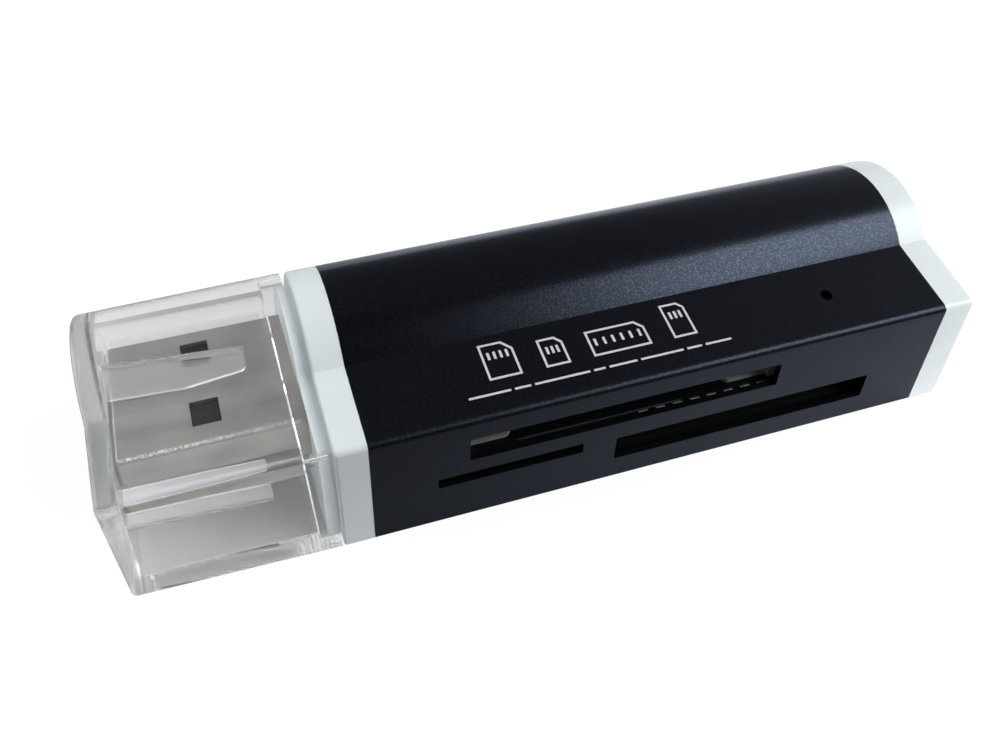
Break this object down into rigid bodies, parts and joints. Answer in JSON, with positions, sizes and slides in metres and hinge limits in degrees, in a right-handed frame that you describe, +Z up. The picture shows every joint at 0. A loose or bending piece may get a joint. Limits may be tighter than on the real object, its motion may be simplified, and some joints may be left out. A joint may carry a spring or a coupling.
{
  "type": "usb memory card reader",
  "caption": "Pocket memory card reader: black anodised tube with card slots in its front face, white end pieces, and a plug under a clear pull-off cap.",
  "frame": {"origin": "middle of the footprint, on the surface that the reader lies on", "axes": "+X from the capped plug to the closed end, -Y out of the slotted front face, +Z up"},
  "size_m": [0.0662, 0.0192, 0.0142],
  "materials": {
    "black_anodised": "black anodised, finely blasted",
    "white_plastic": "moulded, glossy",
    "clear_plastic": "clear moulded",
    "nickel_steel": "nickel plated sheet",
    "black_plastic": "moulded, matt",
    "ivory_plastic": "moulded, matt",
    "gilt_contact": "gold flashed springs",
    "tinned": "tinned",
    "board": "dark solder mask",
    "chip_black": "moulded epoxy",
    "lens_plastic": "tinted resin",
    "ceramic_tan": "ceramic"
  },
  "bodies": {
    "reader": {"shell": "black_anodised", "front_collar": "white_plastic", "rear_cap": "white_plastic", "plug_shell": "nickel_steel", "plug_insulator": "black_plastic", "plug_contacts": "gilt_contact", "circuit_board": "board", "edge_pads": "tinned", "wide_card_frame": "ivory_plastic", "wide_card_roof": "nickel_steel", "wide_card_contacts": "gilt_contact", "card_switch": "gilt_contact", "narrow_card_tray": "black_plastic", "narrow_card_contacts": "gilt_contact", "stick_card_tray": "black_plastic", "stick_card_contacts": "gilt_contact", "controller_chip": "chip_black", "controller_leads": "tinned", "crystal": "nickel_steel", "indicator_led": "ivory_plastic", "led_lens": "lens_plastic", "regulator": "chip_black", "regulator_leads": "tinned", "chip_capacitors": "ceramic_tan", "chip_resistors": "chip_black", "chip_terminals": "tinned"},
    "cap": {"usb_cap": "clear_plastic"}
  },
  "joints": [
    {"name": "cap_slide", "type": "slide", "parent": "reader", "child": "cap", "axis": [-1, 0, 0], "range_m": [0, 0.018]}
  ]
}
